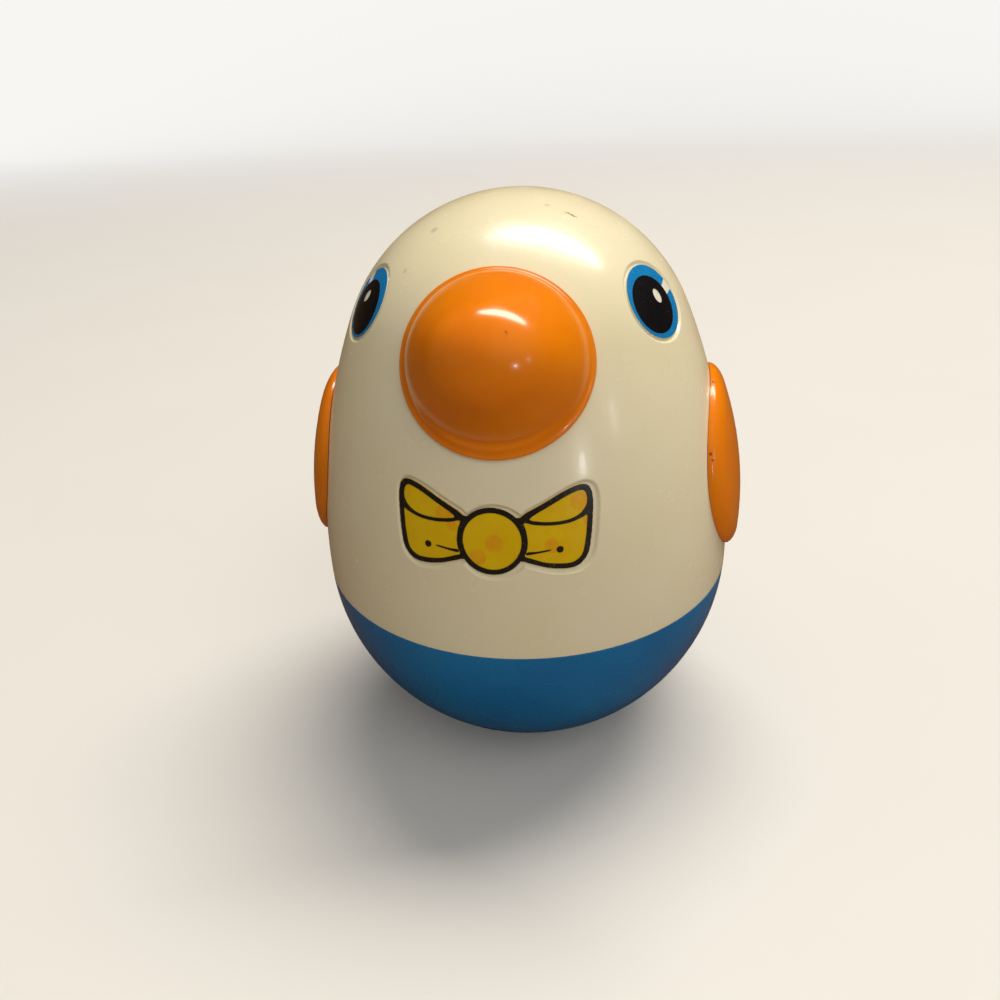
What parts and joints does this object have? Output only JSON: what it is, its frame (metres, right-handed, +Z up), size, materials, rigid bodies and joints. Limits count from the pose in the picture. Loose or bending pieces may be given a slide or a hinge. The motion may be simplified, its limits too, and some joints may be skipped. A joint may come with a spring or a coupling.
{
  "type": "roly poly toy",
  "caption": "Egg-shaped bird toy that rocks on a weighted round bowl and rights itself, with a beak, wings, label eyes and bow tie, and a chime with a swinging clapper inside.",
  "frame": {"origin": "middle of the small flat under the bowl that the toy stands on", "axes": "+Z up, the face and beak look along -Y, the wings are on +X and -X"},
  "size_m": [0.1156, 0.1127, 0.1478],
  "materials": {
    "ivory_plastic": "glossy moulded, ivory",
    "blue_plastic": "glossy moulded, blue",
    "orange_plastic": "glossy moulded, orange",
    "pale_film": "label film, pale",
    "blue_print": "printed, blue",
    "black_print": "printed, black",
    "yellow_film": "label film, yellow",
    "grey_plastic": "moulded, grey",
    "iron": "as cast",
    "steel": "plain",
    "brass": "plain"
  },
  "bodies": {
    "toy": {"body_shell": "ivory_plastic", "base_shell": "blue_plastic", "beak": "orange_plastic", "wing_left": "orange_plastic", "wing_right": "orange_plastic", "eye_film_left": "pale_film", "eye_film_right": "pale_film", "eye_iris_left": "blue_print", "eye_iris_right": "blue_print", "eye_pupil_left": "black_print", "eye_pupil_right": "black_print", "bow_film": "yellow_film", "bow_print": "black_print", "counterweight": "iron", "weight_screws": "steel", "weight_washers": "steel", "chime_plate": "grey_plastic", "chime_rod_1": "steel", "chime_rod_2": "steel", "chime_rod_3": "steel", "chime_rod_4": "steel", "chime_bridge": "grey_plastic", "bridge_screws": "steel", "hanger_pin": "steel", "beak_screw": "steel", "beak_washer": "steel", "wing_clips": "steel"},
    "link": {"clapper_link": "brass", "link_pin": "steel"},
    "clapper": {"clapper_rod": "steel", "clapper_ball": "brass"}
  },
  "joints": [
    {"name": "link_swing", "type": "hinge", "parent": "toy", "child": "link", "pos_m": [0, 0, 0.07632], "axis": [1, 0, 0], "range_deg": [-15.5, 15.5]},
    {"name": "clapper_swing", "type": "hinge", "parent": "link", "child": "clapper", "pos_m": [0, 0, 0.06982], "axis": [0, 1, 0], "range_deg": [-19.5, 19.5]}
  ]
}
